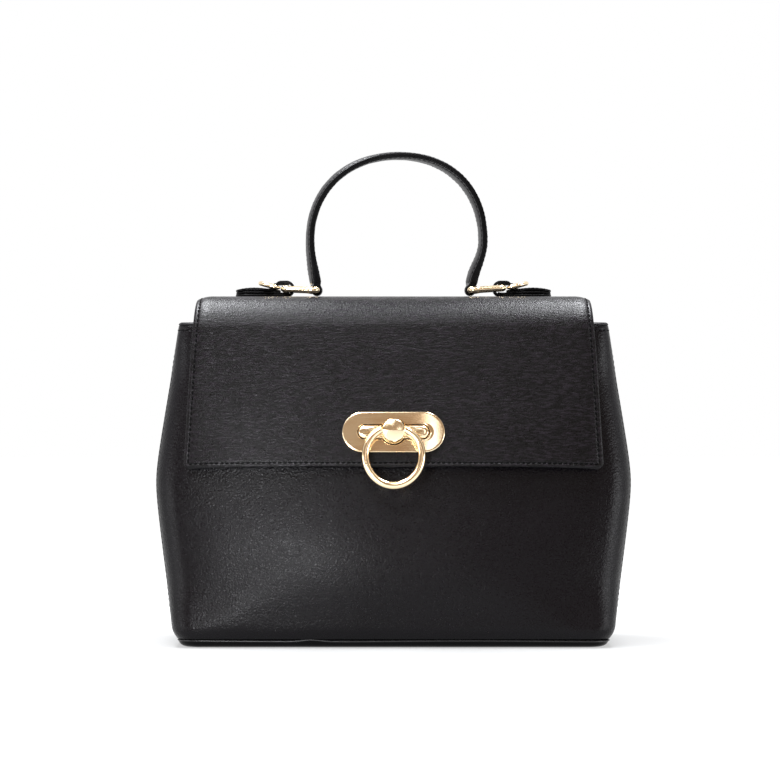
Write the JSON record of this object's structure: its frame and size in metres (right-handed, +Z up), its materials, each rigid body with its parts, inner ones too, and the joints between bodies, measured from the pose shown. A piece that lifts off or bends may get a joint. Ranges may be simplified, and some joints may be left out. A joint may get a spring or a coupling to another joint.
{
  "type": "top-handle bag",
  "caption": "Black leather top-handle bag with a rolled flap, a gold ring turn lock and an arched strap handle on gold wire rings.",
  "frame": {"origin": "on the floor under the middle of the base, at the bottom mount", "axes": "+Z up, -Y out of the front of the bag with the lock, +X to the right as seen from the front"},
  "size_m": [0.3088, 0.144, 0.3223],
  "materials": {
    "leather": "satin fine grain",
    "lining": "woven",
    "board": "raw",
    "gold": "polished and brushed pale gold"
  },
  "bodies": {
    "bag": {"front_panel": "leather", "back_panel": "leather", "left_gusset": "leather", "right_gusset": "leather", "base_panel": "leather", "base_board": "board", "rim_facing": "leather", "lining": "lining", "flap_tail": "leather", "keeper": "gold", "keeper_back_plate": "gold", "left_keeper_screw": "gold", "right_keeper_screw": "gold"},
    "flap": {"flap_outer": "leather", "flap_lining": "leather", "left_tab": "leather", "right_tab": "leather", "lock_plate": "gold", "lock_bush": "gold", "lock_back_plate": "gold", "left_lock_screw": "gold", "right_lock_screw": "gold"},
    "handle": {"handle_outer_strap": "leather", "handle_inner_strap": "leather", "handle_core": "lining", "left_handle_loop": "leather", "right_handle_loop": "leather"},
    "left_handle_ring": {"left_handle_ring": "gold"},
    "right_handle_ring": {"right_handle_ring": "gold"},
    "left_d_ring": {"left_d_ring": "gold"},
    "right_d_ring": {"right_d_ring": "gold"},
    "turn_knob": {"turn_knob": "gold", "spring_washer": "gold", "turn_tongue": "gold"},
    "pull_ring": {"pull_ring": "gold"}
  },
  "joints": [
    {"name": "flap_open", "type": "hinge", "parent": "bag", "child": "flap", "pos_m": [0, 0.0403, 0.208], "axis": [-1, 0, 0], "range_deg": [0, 150]},
    {"name": "handle_lift", "type": "slide", "parent": "flap", "child": "handle", "axis": [0, 0, 1], "range_m": [0, 0.013]},
    {"name": "left_ring_swing", "type": "hinge", "parent": "handle", "child": "left_handle_ring", "pos_m": [-0.0505, -0.0015, 0.231], "axis": [0, -1, 0], "range_deg": [0, 35.5]},
    {"name": "right_ring_swing", "type": "hinge", "parent": "handle", "child": "right_handle_ring", "pos_m": [0.0505, -0.0015, 0.231], "axis": [0, 1, 0], "range_deg": [0, 35.5]},
    {"name": "left_d_ring_swing", "type": "hinge", "parent": "flap", "child": "left_d_ring", "pos_m": [-0.0756, -0.0015, 0.2326], "axis": [0, 1, 0], "range_deg": [0, 80]},
    {"name": "right_d_ring_swing", "type": "hinge", "parent": "flap", "child": "right_d_ring", "pos_m": [0.0756, -0.0015, 0.2326], "axis": [0, -1, 0], "range_deg": [0, 80]},
    {"name": "lock_turn", "type": "hinge", "parent": "flap", "child": "turn_knob", "pos_m": [0, -0.05995, 0.138], "axis": [0, -0.9828, 0.1848], "range_deg": [0, 90]},
    {"name": "pull_ring_swing", "type": "hinge", "parent": "turn_knob", "child": "pull_ring", "pos_m": [0, -0.06801, 0.13952], "axis": [-1, 0, 0], "range_deg": [0, 170]}
  ],
  "couplings": [
    {"joint": "left_ring_swing", "follows": "handle_lift", "rad_per_m": 47.62},
    {"joint": "right_ring_swing", "follows": "handle_lift", "rad_per_m": 47.62}
  ]
}
